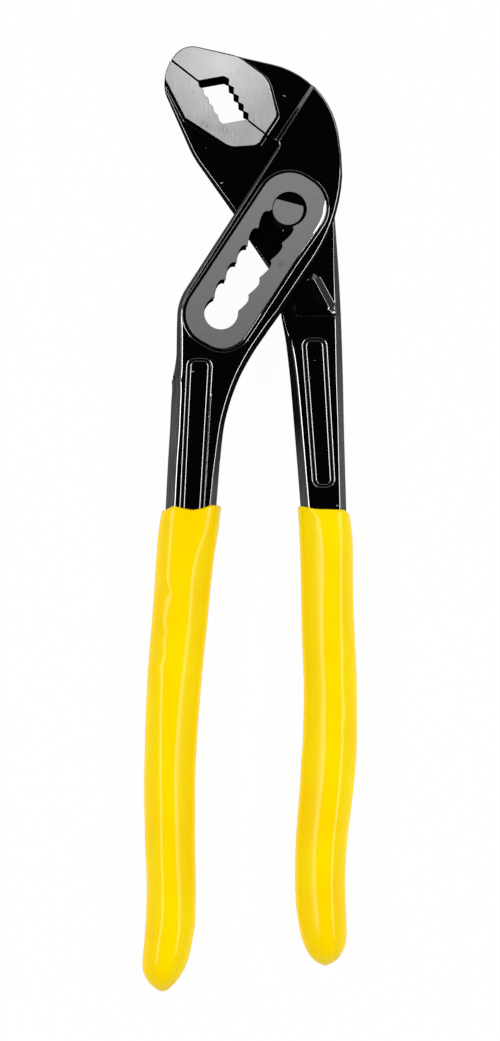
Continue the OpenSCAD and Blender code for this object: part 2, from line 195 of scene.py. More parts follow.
# Faces are flanks where their normal's z is under `steep`, and walls under `upright`
steep, upright, face_share, flank_past = 0.7, 0.12, 0.8, 0.3


def forging(name, outline, level, holes, rooms, lines, ground, outer, rear_play=0.0, rear_shift=(0, 0)):
    """A forged half as one height over a plane region, mirrored in the parting plane.

    The region inside the outline and outside the holes is cut into triangles along every line given. A point's
    height is its level, brought down to the parting plane by the side profile near the outline. Inside the
    rooms the half is hollow up to room_half on either side.
    Triangles inside a ground loop are bare steel. Steep ones along the outline have the flanks' satin lacquer, with a
    painted floor reflection and painted shade in its colour, of one kind where they face the way x times outer, and of
    another elsewhere. Other steep ones, upright ones and the rims of straight cuts are dull black. The holes are
    shifted and widened a little at the rear.
    """
    rim = level(outline[:, :2])
    lean, edge = outline[:, 2], outline[:, 3]
    slope = np.arctan2(lean, rim)
    touch = edge * np.tan((np.pi / 2 - slope) / 2)
    rows = [inset(outline, lean + touch - edge * np.sin(t * (np.pi / 2 - slope)))
            for t in np.linspace(1, 0, edge_rows)]
    face_rim = np.maximum(edge_rim + rim_share * edge, lean + touch)
    rows.append(inset(outline, np.where(lean < straight, touch, face_rim)))
    loops = [outline[:, :2]] + rows + holes + rooms
    parts = loops + lines
    start = np.cumsum([0] + [len(p) for p in parts])
    ends = []
    for k, p in enumerate(parts):
        i = np.arange(len(p))
        pairs = np.stack([i, np.roll(i, -1)], 1) + start[k]
        ends.append(pairs if k < len(loops) else pairs[:-1])
    xy, _, tri, *_ = delaunay_2d_cdt(
        np.concatenate(parts).tolist(), np.concatenate(ends).tolist(), [], 0, 1e-4, False)
    xy, tri = np.array(xy), np.array(tri)
    centre = xy[tri].mean(1)
    keep = inside(centre, outline)
    for hole in holes:
        keep &= ~inside(centre, hole)
    tri, centre = tri[keep], centre[keep]
    a, b, c = xy[tri[:, 0]], xy[tri[:, 1]], xy[tri[:, 2]]
    area = (b[:, 0] - a[:, 0]) * (c[:, 1] - a[:, 1]) - (b[:, 1] - a[:, 1]) * (c[:, 0] - a[:, 0])
    tri = np.where((area < 0)[:, None], tri[:, ::-1], tri)
    hollow = np.zeros(len(tri), bool)
    for room in rooms:
        hollow |= inside(centre, room)
    n = len(xy)
    open_point = np.zeros(n, bool)
    open_point[tri[hollow]] = True

    near = reach(xy, outline)
    near[near[:, 0] < on_line, 0] = 0
    height = np.maximum(side(near[:, 0], near[:, 1], near[:, 2], level(xy)), np.where(open_point, room_half, 0))

    edges = tri[:, [0, 1, 1, 2, 2, 0]].reshape(-1, 2)
    owner = np.repeat(hollow, 3)
    key, back = edges[:, 0] * n + edges[:, 1], edges[:, 1] * n + edges[:, 0]
    order = np.argsort(key)
    found = np.clip(np.searchsorted(key[order], back), 0, len(key) - 1)
    twin = np.where(key[order][found] == back, order[found], -1)
    rim_edge = twin < 0
    wall = edges[rim_edge & ~owner], edges[rim_edge & owner], edges[~rim_edge & owner & ~owner[twin]]
    front, rear, top, foot = 0, n, 2 * n, 3 * n

    def strip(e, low, high):
        """Upright faces over edges e, from one layer of points to another."""
        e0, e1 = e[:, 0], e[:, 1]
        return np.concatenate([np.stack([e0 + low, e1 + low, e1 + high], 1),
                               np.stack([e0 + low, e1 + high, e0 + high], 1)])

    faces = [tri + front, tri[:, ::-1] + rear, tri[hollow][:, ::-1] + top, tri[hollow] + foot,
             strip(wall[0], rear, front), strip(wall[1], top, front), strip(wall[1], rear, foot),
             strip(wall[2][:, ::-1], foot, top)]
    corner = np.column_stack([xy, height])[tri]
    normal = unit(np.cross(corner[:, 1] - corner[:, 0], corner[:, 2] - corner[:, 0]))
    middle = xy[tri].mean(1)
    off, lean, edge = reach(middle, outline).T
    sawn = lean < straight
    dull = (normal[:, 2] < upright) | ((off < cut_rim) & sawn)
    on_face = (normal[:, 2] > steep) & (off > face_share * lean)
    flank = np.where(normal[:, 0] * outer > 0, outer_side, inner_side)
    flank = np.where(off < lean + flank_past, flank, dull_black)
    finish = np.where(dull, dull_black, np.where(on_face, lacquered, flank))
    bare = off > np.where(sawn, cut_rim, edge_rim + rim_share * edge)
    for k, loop in ground:
        finish = np.where((finish == lacquered) & inside(middle, loop), np.where(bare, k, dull_black), finish)
    kind = np.concatenate([finish, finish] + [np.full(len(f), dull_black) for f in faces[2:]])
    behind = xy.copy()
    for hole in holes:
        wider = np.column_stack([hole, inset(hole, -rear_play) - hole + rear_shift])
        gap = reach(xy, wider)
        behind += np.where(gap[:, :1] < on_line, gap[:, 1:], 0)
    points = np.concatenate([np.column_stack([q, z]) for q, z in (
        (xy, height), (behind, -height), (xy, np.full(n, room_half)), (behind, np.full(n, -room_half)))])
    return solid(name, points + [0, 0, parting_plane], np.concatenate(faces), kind, seam=parting_plane)


scene = bpy.context.scene


def solid(name, points, faces, kind=None, sharp=30, seam=None):
    """An object from points in millimetres: like points are joined, faces without area go, creases stay sharp.

    Edges between faces that turn by more than `sharp` degrees are creases, and so are those at the height `seam`.
    """
    _, first, same = np.unique(np.round(points / weld).astype(np.int64), axis=0,
                               return_index=True, return_inverse=True)
    faces = same.reshape(-1)[faces]
    full = (faces != np.roll(faces, 1, 1)).all(1)
    used, faces = np.unique(faces[full], return_inverse=True)
    points = points[first][used]
    mesh = bpy.data.meshes.new(name)
    mesh.from_pydata((points * mm).tolist(), [], faces.reshape(-1, 3).tolist())
    if kind is not None:
        mesh.polygons.foreach_set("material_index", kind[full].astype(np.int32))
    mesh.shade_smooth()
    mesh.set_sharp_from_angle(angle=np.radians(sharp))
    if seam is not None:
        ends = np.zeros(2 * len(mesh.edges), np.int32)
        mesh.edges.foreach_get("vertices", ends)
        on_seam = np.abs(points[ends, 2] - seam).reshape(-1, 2).max(1) < weld
        crease = np.zeros(len(mesh.edges), bool)
        mesh.attributes["sharp_edge"].data.foreach_get("value", crease)
        mesh.attributes["sharp_edge"].data.foreach_set("value", crease | on_seam)
    obj = bpy.data.objects.new(name, mesh)
    scene.collection.objects.link(obj)
    even = obj.modifiers.new("even_normals", "WEIGHTED_NORMAL")
    even.keep_sharp = True
    even.weight = 90
    return obj


tooth_count = 5


def teeth(start, end, away, high):
    """A row of tooth points from start to end: root, then valley, moved away from the opening by high."""
    k = np.arange(tooth_count)[:, None]
    run = (end - start) / tooth_count
    out = away * unit(np.array([-run[1], run[0]])) * high
    return np.stack([start + run * k, start + run * (k + 0.5) + out], 1).reshape(-1, 2)


def corner_rows(p, r, lean, edge):
    """Outline corners with one radius, lean and edge radius."""
    p = np.atleast_2d(p)
    return np.column_stack([p, np.full((len(p), 3), (r, lean, edge))])


def slot_rows(p, r, lean, edge):
    """Outline corners given in the slot's frame."""
    return corner_rows(from_slot(p), r, lean, edge)


def side_rows(x, y, lean, edge):
    """Outline points that aren't rounded, each with its lean and edge radius."""
    return np.column_stack(np.broadcast_arrays(x, y, 0.0, lean, edge))


# The left handle's sides: y, x, lean
upper_left_side = [
    (-30.7, -29.55, 0.9), (-34.5, -29.6, 1), (-37.8, -29.65, 1.05), (-41, -30, 1.45), (-43.3, -30.45, 1.85),
    (-44.5, -30.8, 2.05), (-45, -31.1, 2.2), (-45.7, -30.95, 2.2), (-47, -30.95, 2.25), (-50.8, -31.2, 2.4),
    (-57.6, -31.5, 2.4), (-66.6, -32.05, 2.3), (-79.5, -32.7, 2.25)]
upper_right_side = [
    (-79.5, -19.15, 1.5), (-69.9, -18.4, 1.25), (-63.4, -17.85, 0.95), (-57, -17.05, 0.8), (-50.6, -15.45, 0.75),
    (-44.1, -13, 0.8), (-37.7, -9.55, 0.85), (-31.3, -5.25, 0.85), (-30.7, -4.84, 0.85)]
# The sleeve's mid line and half width, which the tang follows inside it: y, x, half
left_sleeve = [
    (-78.4, -25.75, 8.0), (-85.9, -26.65, 8.0), (-92.4, -27.45, 7.75), (-102, -28.3, 7.55), (-111.7, -29.1, 7.45),
    (-121.3, -30, 7.35), (-130.9, -30.7, 7.2), (-140.6, -31.2, 7.0), (-153.5, -31.6, 6.85), (-169.5, -31.45, 6.7),
    (-179.2, -31.15, 6.6), (-188.8, -31.3, 6.65), (-195.3, -32, 6.45), (-200, -32.7, 6.2), (-208.3, -33.5, 6)]
sleeve_wall, tang_step, tang_top, tang_run = 1.3, 1.4, -81.5, 5
tang_lean, tang_edge = 2.0, 0.8
# The pipe opening's corners in the slot's frame. Sawn sides have no lean and a fine edge.
pipe_a, pipe_b, pipe_c = np.array([-38.7, 16.02]), np.array([-33.8, 20.62]), np.array([-22.1, 14.51])
sawn_side = 0, 0.1

side_y = np.linspace(-30.7, -79.3, 91)
tang_y = np.linspace(-80.5, -198, 30)
tang_mid, tang_half = smooth(left_sleeve, tang_y).T
left_x, left_lean = smooth(upper_left_side, side_y).T
right_x, right_lean = smooth(upper_right_side, side_y[::-1]).T
upper_outline = rounded(np.concatenate([
    slot_rows([(-47.9, 16.86)], 0, *sawn_side),
    slot_rows([pipe_a], 0.25, *sawn_side),
    slot_rows([pipe_b], 0.8, *sawn_side),
    slot_rows(teeth(pipe_b, pipe_c, 1, 0.9)[1:], 0.22, *sawn_side),
    slot_rows([pipe_c], 0.25, *sawn_side),
    slot_rows([(-14.2, 13.79)], 0, *sawn_side),
    slot_rows([(-11.6, 13.55)], 1.4, 0.5, 0.45),
    slot_rows([(-11.6, -36.0)], 14, 0.9, 0.5),
    side_rows(left_x, side_y, left_lean, 1.2),
    side_rows(tang_mid - tang_half + sleeve_wall, tang_y, tang_lean, tang_edge),
    side_rows(tang_mid + tang_half - sleeve_wall, tang_y, tang_lean, tang_edge)[::-1],
    side_rows(right_x, side_y[::-1], right_lean, 0.55),
    slot_rows([(12.9, -24)], 0, 0.8, 0.3),
    slot_rows([(12.95, 11.15)], 44, 0.5, 0.45),
    slot_rows([(-10.5, 36.3)], 23, 0.3, 0.6),
    slot_rows([(-47.9, 22.1)], 6, 0.2, 0.2)]))

# The slot's notches are deepest near their upper ends, and deeper on the left. The pin's hole is a little wider.
# The slot and the hole are each a little off their places, and the last notch by a share of that.
notch_count, notch_pitch, notch_r, neck_half = 7, 5.4, 4.5, 3.75
slot_len = (notch_count - 1) * notch_pitch
notch_skew, left_deep, hole_r = 0.8, 1.4, 4.6
hole_at, slot_at, last_share = np.array([0.4, 0.2]), np.array([-0.3, 0]), 0.3
theta = np.arccos(neck_half / notch_r)
sweep = np.linspace(theta, -theta, 15)
drop = (1 - np.sin(sweep) / np.sin(theta)) / 2
drop = drop - notch_skew * drop * (1 - drop)
notch_out = notch_r * np.cos(sweep) - neck_half
notch_down = notch_r * np.sin(theta) * (1 - 2 * drop)
notch_y = -notch_pitch * np.arange(1, notch_count - 1)
right_notches = np.stack([np.tile(neck_half + notch_out[::-1], notch_count - 2),
                          (notch_y[::-1, None] + notch_down[::-1]).reshape(-1)], 1)
left_notches = np.stack([np.tile(-neck_half - left_deep * notch_out, notch_count - 2),
                         (notch_y[:, None] + notch_down).reshape(-1)], 1)
last_notch = arc(notch_r, np.linspace(np.pi - theta, 2 * np.pi + theta, 30)) - (0, slot_len)
pin_hole = arc(hole_r, np.linspace(-theta, np.pi + theta, 40))
setting_slot = np.concatenate([from_slot(last_notch) + last_share * slot_at, from_slot(right_notches) + slot_at,
                               from_slot(pin_hole) + hole_at, from_slot(left_notches) + slot_at])

# The room for the lower half's tongue, open on both sides, and the pocket for its crotch at the last setting
room_top_r, room_foot_r, room_end, pocket_play = 17.4, 21.2, 60, 0.4
tongue_room = from_slot(np.concatenate([
    [(room_end, -slot_len), (room_end, 0)], arc(room_top_r, np.linspace(0, np.pi, 60)),
    [(-room_end, 0), (-room_end, -slot_len)],
    arc(room_foot_r, np.linspace(np.pi, 2 * np.pi, 60)) - (0, slot_len)]))
throat = np.array([-3.2, -17.4])
crotch_pocket = from_slot([(0, -slot_len)])[0] - pocket_play + np.array(
    [(0, 0), throat, (-1.6, -28.15), (-0.3, -38.25), (room_end, -38.25), (room_end, 0)])

jaw_half, cheek_half, pad_half, boss_half = 4.2, 5.3, 5.0, 6.5
step_x, step_slope, step_top, step_foot = -12.5, 1.5, 60, -5
pad_slope, boss_slope, raised_soft = 0.95, 1.15, 0.45
panel_slope, panel_depth, panel_soft = 1.6, 1.1, 0.35
upper_pad = rounded(np.column_stack([np.concatenate([from_slot([(-16.5, 5)]), [
    (-3.0, 25.2), (-5.6, 34.9), (-14.3, 41.2), (-24, 43.6), (-45, 46), (-45, 15)]]), (0, 1.6, 7, 12, 0, 0, 0)]))


def panel_loop(top, foot, half_top, half_foot, r):
    """A long recess with round corners between two points on its centre line."""
    return rounded([(top[0] - half_top, top[1], r), (foot[0] - half_foot, foot[1], r),
                    (foot[0] + half_foot, foot[1], r), (top[0] + half_top, top[1], r)])


upper_panel = panel_loop((-23.35, -38.8), (-26.1, -90), 3.65, 3.4, 2.6)
# The oblong round the slot. The top of its slope is dull, except on the right, where a lacquered bevel at half the
# lamps' angle catches the light. Its width, as a share of rim_wide, depends on the place along the slot.
rim_wide, rim_fall, rim_right = 0.6, np.tan(np.radians(22.5)), 3
rim_shares = [(-41, 0), (-38, 0.4), (-34, 0.4), (-28, 0.2), (-20, 0), (-8, 0), (0, 0.5), (3, 1), (6, 1), (7.5, 0)]
boss = rounded([(-8.55, 9.7, 8), (-9.0, -42.1, 8), (8.7, -40.8, 7), (8.85, -28, 0), (8.85, -20, 0),
                (8.85, -10, 0), (9.0, -6, 0), (9.2, -1, 0), (9.4, 9.7, 8)], 41)
lit = np.interp(boss[:, 1], *np.array(rim_shares).T) * (boss[:, 0] > rim_right)
boss = np.column_stack([from_slot(boss), lit])


def upper_level(p):
    """Half thickness: jaw and cheek joined by a slope, with the raised pad and oblong and the sunk panel."""
    s = p[:, 0] * np.cos(slot_tilt) - p[:, 1] * np.sin(slot_tilt)
    h = jaw_half + (cheek_half - jaw_half) * ramp((s - step_x) / step_slope + 0.5)
    h += (pad_half - h) * (1 - ramp(-depth(p, upper_pad)[0] / pad_slope, raised_soft))
    d, share = depth(p, boss)
    top = boss_half - rim_fall * np.maximum(rim_wide * share - np.maximum(d, 0), 0)
    h += (top - h) * (1 - ramp(-d / boss_slope, raised_soft))
    h = h - panel_depth * ramp(depth(p, upper_panel)[0] / panel_slope, panel_soft)
    return h - tang_step * ramp((tang_top - p[:, 1]) / tang_run)


# Shares of a slope's width, closest at its ends, where it bends
band_steps = np.array([0, 0.08, 0.16, 0.24, 0.32, 0.68, 0.76, 0.84, 0.92, 1])


def bands(loop, width, outward):
    """Copies of a loop across the width of its slope, as closed lines."""
    return [closed(inset(loop, d)) for d in band_steps * width * (-1 if outward else 1)]


step_lines = [from_slot([(step_x + k, step_top), (step_x + k, step_foot)]) for k in (band_steps - 0.5) * step_slope]
# Two lines inside the bevel keep its shading flat
bevelled = (lit > 0.05) & (boss[:, 1] > -8)
bevel_lines = [inset(boss, share * rim_wide * lit)[bevelled] for share in (0.2, 0.85)]
# Bare steel laps a little over the top of each slope, and dull black follows it. The pad's crown is ground furthest.
boss_lap, pad_lap, crown_lap, crown_foot = 0.04, 0.02, 0.32, 28
boss_dull, pad_dull = 0.5, 0.75
bare_boss = inset(boss, rim_wide * lit - boss_lap)
bare_pad = inset(upper_pad, -pad_slope * np.where(upper_pad[:, 1] > crown_foot, crown_lap, pad_lap))
boss_shade = inset(boss, np.where(lit < 0.1, -boss_dull * boss_slope, rim_wide * lit))
pad_shade = inset(upper_pad, -pad_dull * pad_slope)
upper_lines = (step_lines + bands(boss, boss_slope, True) + bands(upper_pad, pad_slope, True)
               + bands(upper_panel, panel_slope, False) + [closed(bare_boss)] + bevel_lines)
upper_ground = [(jaw_bright, bare_pad), (dull_black, pad_shade), (boss_bright, bare_boss), (dull_black, boss_shade)]
upper_jaw = forging("upper_jaw_forging", upper_outline, upper_level, [setting_slot], [tongue_room, crotch_pocket],
                    upper_lines, upper_ground, outer=-1, rear_play=0.2, rear_shift=from_slot([(-0.3, 0)])[0])


def linear(code):
    """An sRGB hex colour as linear red, green, blue and alpha."""
    c = np.array([int(code[i:i + 2], 16) for i in (1, 3, 5)]) / 255
    return (*np.where(c > 0.04045, ((c + 0.055) / 1.055) ** 2.4, c / 12.92), 1)


def put(tree, kind, values=None, links=None, **settings):
    """Adds a shader node of a kind such as TexNoise, with its settings, its fixed inputs and its links."""
    node = tree.nodes.new("ShaderNode" + kind)
    for key, value in settings.items():
        setattr(node, key, value)
    for key, value in (values or {}).items():
        node.inputs[key].default_value = value
    for key, source in (links or {}).items():
        tree.links.new(source, node.inputs[key])
    return node


def surface(name, **values):
    """A new material: its tree, its shader and its Object coordinates."""
    mat = bpy.data.materials.new(name)
    mat.use_nodes = True
    tree = mat.node_tree
    shader = tree.nodes["Principled BSDF"]
    for key, value in values.items():
        shader.inputs[key.replace("_", " ")].default_value = value
    return mat, tree, shader, put(tree, "TexCoord").outputs["Object"]


# The colour sockets of a Mix node
tint_a, tint_b, tint_out = 6, 7, 2

# Black stoving lacquer on forged steel: deep black with hard white highlights, a faint orange peel that
# breaks them into beads, and a few dust nibs
black_lacquer, tree, shader, where = surface(
    "black_stoving_lacquer", Base_Color=linear("#010101"), Roughness=0.14, IOR=1.5, Specular_IOR_Level=1.0,
    Coat_Weight=1.0, Coat_IOR=2.0, Coat_Roughness=0.06)
peel = put(tree, "TexNoise", {"Scale": metre / 1.1, "Detail": 2.0}, {"Vector": where})
nib = put(tree, "TexVoronoi", {"Scale": metre / 3.5}, {"Vector": where})
nib_high = put(tree, "MapRange", {"From Max": 0.09, "To Min": 1.0, "To Max": 0.0}, {"Value": nib.outputs["Distance"]})
chance = put(tree, "SeparateColor", None, {"Color": nib.outputs["Color"]})
chosen = put(tree, "Math", {1: 0.5}, {0: chance.outputs[0]}, operation="GREATER_THAN")
nibs = put(tree, "Math", None, {0: nib_high.outputs[0], 1: chosen.outputs[0]}, operation="MULTIPLY")
bump = put(tree, "Bump", {"Strength": 0.5, "Distance": 0.05 * mm}, {"Height": peel.outputs["Fac"]})
bump = put(tree, "Bump", {"Strength": 1.0, "Distance": 0.14 * mm},
           {"Height": nibs.outputs[0], "Normal": bump.outputs[0]})
tree.links.new(bump.outputs["Normal"], shader.inputs["Normal"])

# Satin lacquer on the steep flanks, with painted light in its colour. A painted reflection of the pale floor makes it
# dark grey with long streaks down the handles, and painted shade makes it near black at the joint. On the inner flanks
# the painted shade reaches further down.
flank_finishes = []
for name, low, high, reflection_at_low, reflection_at_high, gloss in (
        ("satin_flanks_painted_reflection", -52, -36, 0.72, 0.38, 0.04),
        ("satin_inner_flanks_painted_reflection", -74, -56, 1.0, 0.05, 0.0)):
    flank_lacquer, tree, shader, where = surface(
        name, Base_Color=linear("#1a1a1a"), Roughness=0.5, Specular_IOR_Level=gloss)
    along = put(tree, "Mapping", {"Scale": (metre / 0.8, metre / 30, metre / 0.8)}, {"Vector": where})
    streak = put(tree, "TexNoise", {"Scale": 1.0, "Detail": 2.0}, {"Vector": along.outputs[0]})
    place = put(tree, "SeparateXYZ", None, {"Vector": where})
    # Painted floor reflection, paler down the handle, giving way to painted shade towards the joint
    floor_reflection_by_y = put(tree, "MapRange", {"From Min": low * mm, "From Max": high * mm, "To Min": reflection_at_low, "To Max": reflection_at_high},
               {"Value": place.outputs["Y"]})
    share = put(tree, "Math", None, {0: streak.outputs["Fac"], 1: floor_reflection_by_y.outputs[0]}, operation="MULTIPLY")
    tone = put(tree, "Mix", {tint_a: linear("#060606"), tint_b: linear("#6c6c6c")},
               {"Factor": share.outputs[0]}, data_type="RGBA")
    bump = put(tree, "Bump", {"Strength": 0.3, "Distance": 0.05 * mm}, {"Height": streak.outputs["Fac"]})
    tree.links.new(tone.outputs[tint_out], shader.inputs["Base Color"])
    tree.links.new(bump.outputs["Normal"], shader.inputs["Normal"])
    flank_finishes.append(flank_lacquer)
outer_flank, inner_flank = flank_finishes

# Thin lacquer on the sawn walls of the openings: dull and black
cut_black, tree, shader, where = surface(
    "dull_black_cut_walls", Base_Color=linear("#060606"), Roughness=0.75, Specular_IOR_Level=0.0)
saw = put(tree, "TexNoise", {"Scale": metre / 0.9, "Detail": 3.0}, {"Vector": where})
bump = put(tree, "Bump", {"Strength": 0.4, "Distance": 0.1 * mm}, {"Height": saw.outputs["Fac"]})
tree.links.new(bump.outputs["Normal"], shader.inputs["Normal"])

# Ground jaw face: bare steel off a fine belt, with a painted sheen that is brightest at the crown and fades away from
# it, cloudy and finely grained, with clusters of small pits and short bright scratches, drawn wider than the belt's
# grit so that they show
crown_x, crown_y, sheen_fade = -17.5, 39.6, 18
jaw_steel, tree, shader, where = surface(
    "belt_ground_jaw_steel", Base_Color=linear("#d8d8d6"), Metallic=0.4, Roughness=0.4)
cloud = put(tree, "TexNoise", {"Scale": metre / 9.0, "Detail": 6.0, "Roughness": 0.7}, {"Vector": where})
spread = put(tree, "MapRange", {"From Min": 0.3, "From Max": 0.7}, {"Value": cloud.outputs["Fac"]})
crown = put(tree, "Mapping", {"Location": (-crown_x * mm, -crown_y * mm, 0), "Scale": (1, 1, 0)},
            {"Vector": where})
away = put(tree, "VectorMath", None, {0: crown.outputs[0]}, operation="LENGTH")
# Painted sheen: lightest at the crown and falling off with distance from it
bright = put(tree, "MapRange", {"From Max": sheen_fade * mm, "To Min": 0.85, "To Max": 0.15},
             {"Value": away.outputs["Value"]})
bright = put(tree, "Math", {1: 0.3}, {0: spread.outputs[0], 2: bright.outputs[0]}, operation="MULTIPLY_ADD")
tone = put(tree, "Mix", {tint_a: linear("#acacaa"), tint_b: linear("#ffffff")},
           {"Factor": bright.outputs[0]}, data_type="RGBA")
along = put(tree, "Mapping", {"Rotation": (0, 0, 0.75), "Scale": (metre / 0.3, metre / 1.6, 1)},
            {"Vector": where})
pit = put(tree, "TexNoise", {"Scale": 1.0, "Detail": 1.0}, {"Vector": along.outputs[0]})
patch = put(tree, "TexNoise", {"Scale": metre / 6.0, "Detail": 1.0}, {"Vector": where})
both = put(tree, "Math", None, {0: pit.outputs["Fac"], 1: patch.outputs["Fac"]}, operation="ADD")
pits = put(tree, "MapRange", {"From Min": 1.22, "From Max": 1.36, "To Max": 0.6}, {"Value": both.outputs[0]})
tone = put(tree, "Mix", {tint_b: linear("#707070")},
           {"Factor": pits.outputs[0], tint_a: tone.outputs[tint_out]}, data_type="RGBA")
across = put(tree, "Mapping", {"Rotation": (0, 0, -0.6), "Scale": (metre / 0.25, metre / 4, 1)},
             {"Vector": where})
line = put(tree, "TexNoise", {"Scale": 1.0, "Detail": 1.0}, {"Vector": across.outputs[0]})
cut = put(tree, "MapRange", {"From Min": 0.66, "From Max": 0.74, "To Max": 0.8}, {"Value": line.outputs["Fac"]})
tone = put(tree, "Mix", {tint_b: linear("#ffffff")},
           {"Factor": cut.outputs[0], tint_a: tone.outputs[tint_out]}, data_type="RGBA")
shine = put(tree, "MapRange", {"To Min": 0.42, "To Max": 0.32}, {"Value": spread.outputs[0]})
bump = put(tree, "Bump", {"Strength": 0.3, "Distance": 0.03 * mm}, {"Height": pit.outputs["Fac"]})
tree.links.new(tone.outputs[tint_out], shader.inputs["Base Color"])
tree.links.new(shine.outputs[0], shader.inputs["Roughness"])
tree.links.new(bump.outputs["Normal"], shader.inputs["Normal"])

# Ground oblong: bare steel off a surface grinder, mid grey with painted shade that darkens it towards its lower end,
# faint long lines and a few oil stains
boss_dark_y, boss_bright_y = -36, 6
boss_steel, tree, shader, where = surface(
    "surface_ground_steel", Base_Color=linear("#909090"), Metallic=0.7, Roughness=0.5)
along = put(tree, "Mapping", {"Rotation": (0, 0, 0.35), "Scale": (metre / 40, metre / 0.6, 1)},
            {"Vector": where})
line = put(tree, "TexNoise", {"Scale": 1.0, "Detail": 3.0}, {"Vector": along.outputs[0]})
place = put(tree, "SeparateXYZ", None, {"Vector": where})
# Painted shade: darker towards the oblong's lower end
bright = put(tree, "MapRange", {"From Min": boss_dark_y * mm, "From Max": boss_bright_y * mm, "To Max": 0.8},
             {"Value": place.outputs["Y"]})
bright = put(tree, "Math", {1: 0.2}, {0: line.outputs["Fac"], 2: bright.outputs[0]}, operation="MULTIPLY_ADD")
tone = put(tree, "Mix", {tint_a: linear("#7c7c7c"), tint_b: linear("#989898")},
           {"Factor": bright.outputs[0]}, data_type="RGBA")
stain = put(tree, "TexNoise", {"Scale": metre / 3.5, "Detail": 3.0, "Roughness": 0.6}, {"Vector": where})
stains = put(tree, "MapRange", {"From Min": 0.62, "From Max": 0.8, "To Max": 0.6}, {"Value": stain.outputs["Fac"]})
tone = put(tree, "Mix", {tint_b: linear("#606060")},
           {"Factor": stains.outputs[0], tint_a: tone.outputs[tint_out]}, data_type="RGBA")
bump = put(tree, "Bump", {"Strength": 0.08, "Distance": 0.03 * mm}, {"Height": line.outputs["Fac"]})
tree.links.new(tone.outputs[tint_out], shader.inputs["Base Color"])
tree.links.new(bump.outputs["Normal"], shader.inputs["Normal"])
forging_finishes = black_lacquer, outer_flank, cut_black, jaw_steel, boss_steel, inner_flank
for mat in forging_finishes:
    upper_jaw.data.materials.append(mat)
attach(upper_jaw, "upper_half")
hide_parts("upper_jaw_half")

# Lower half: one steel forging with the lower jaw, the tongue that passes through the box, the guard
# that keeps the handles apart and the right handle. It is lacquered and ground like the upper half.
web_half, arm_half, arm_slope, lower_pad_slope = 3.0, 5.3, 0.9, 0.9
guard_rise, guard_slope, guard_soft, guard_dome, dome_reach, dome_soft = 1.1, 2.1, 0.09, 0.35, 2.8, 0.3
pipe_d = np.array([-27.0, 9.91])
eye_r, bore_r = 12.6, 4.83
lower_left_side = [
    (-28.15, -1.6, 0.4), (-34.5, -0.45, 0.9), (-39, 0.1, 1.3), (-44.1, 0.65, 1.45), (-57, 1.75, 1.6),
    (-69.9, 2.8, 1.65), (-79.5, 3.55, 1.75)]
lower_right_side = [
    (-79.5, 15.75, 1.6), (-58.1, 15.15, 1.55), (-44.1, 14.85, 1.7), (-28.6, 14.35, 1.5), (-16.5, 13.75, 1.3),
    (-7.1, 13.1, 0.8), (-1, 12.65, 0.4)]
right_sleeve = [
    (-78.4, 9.6, 6.95), (-82.7, 10, 7), (-89.1, 10.4, 7.05), (-102, 10.6, 7.0), (-114.9, 11, 7.1),
    (-127.7, 11.45, 7.15), (-140.6, 11.35, 7.25), (-147, 11, 7.35), (-153.5, 10.5, 7.25), (-159.9, 9.9, 7.1),
    (-166.3, 9.25, 6.95), (-172.8, 8.85, 6.8), (-179.2, 8.7, 6.7), (-185.6, 8.95, 6.6), (-192.1, 9.55, 6.3),
    (-201.3, 10, 6)]
left_y = np.linspace(-28.15, -79.3, 42)
right_y = np.linspace(-79.3, -1, 60)
tang_y = np.linspace(-80.5, -191, 30)
tang_mid, tang_half = smooth(right_sleeve, tang_y).T
left_x, left_lean = smooth(lower_left_side, left_y).T
right_x, right_lean = smooth(lower_right_side, right_y).T
eye = arc(eye_r, np.radians(np.linspace(4, 83, 24)))
serration = teeth(pipe_a, pipe_d, -1, 0.5)[:0:-1]
lower_outline = rounded(np.concatenate([
    slot_rows([(-47.95, 16.5)], 0.6, *sawn_side),
    slot_rows([(-48.1, 11.1)], 9, 0.3, 0.2),
    slot_rows([(-29.5, -1.1)], 29, 0.55, 0.3),
    corner_rows([(-13.94, -0.91)], 0, 0.9, 0.08),
    corner_rows([(-12.94, -3.08)], 0, 0.1, 0.06),
    corner_rows([throat], 9, 0.1, 0.06),
    side_rows(left_x, left_y, left_lean, np.interp(left_y, (-37, -32), (1.2, 0.1))),
    side_rows(tang_mid - tang_half + sleeve_wall, tang_y, tang_lean, tang_edge),
    side_rows(tang_mid + tang_half - sleeve_wall, tang_y, tang_lean, tang_edge)[::-1],
    side_rows(right_x, right_y, right_lean, np.interp(right_y, (-30, -8), (0.75, 0.25))),
    corner_rows(eye, 0, 0.3, 0.3),
    slot_rows([(-12.9, 13.37)], 0.5, *sawn_side),
    slot_rows([(-22.42, 14.23)], 0.2, *sawn_side),
    slot_rows([pipe_d], 0.3, *sawn_side),
    slot_rows(serration, 0.15, *sawn_side),
    slot_rows([(-38.42, 15.7)], 0.2, *sawn_side)]))
pin_bore = arc(bore_r, np.linspace(0, 2 * np.pi, 49)[:-1])
lower_pad = rounded(np.column_stack([np.concatenate([
    [(-33.1, 36.3), (-27.1, 24.7), (-15.3, 17.0), (-8.1, 17.5)], from_slot([(-16.5, 20)]),
    [(-25, 50), (-45, 50)]]), (0, 1.2, 5, 2.5, 0, 0, 0)]))
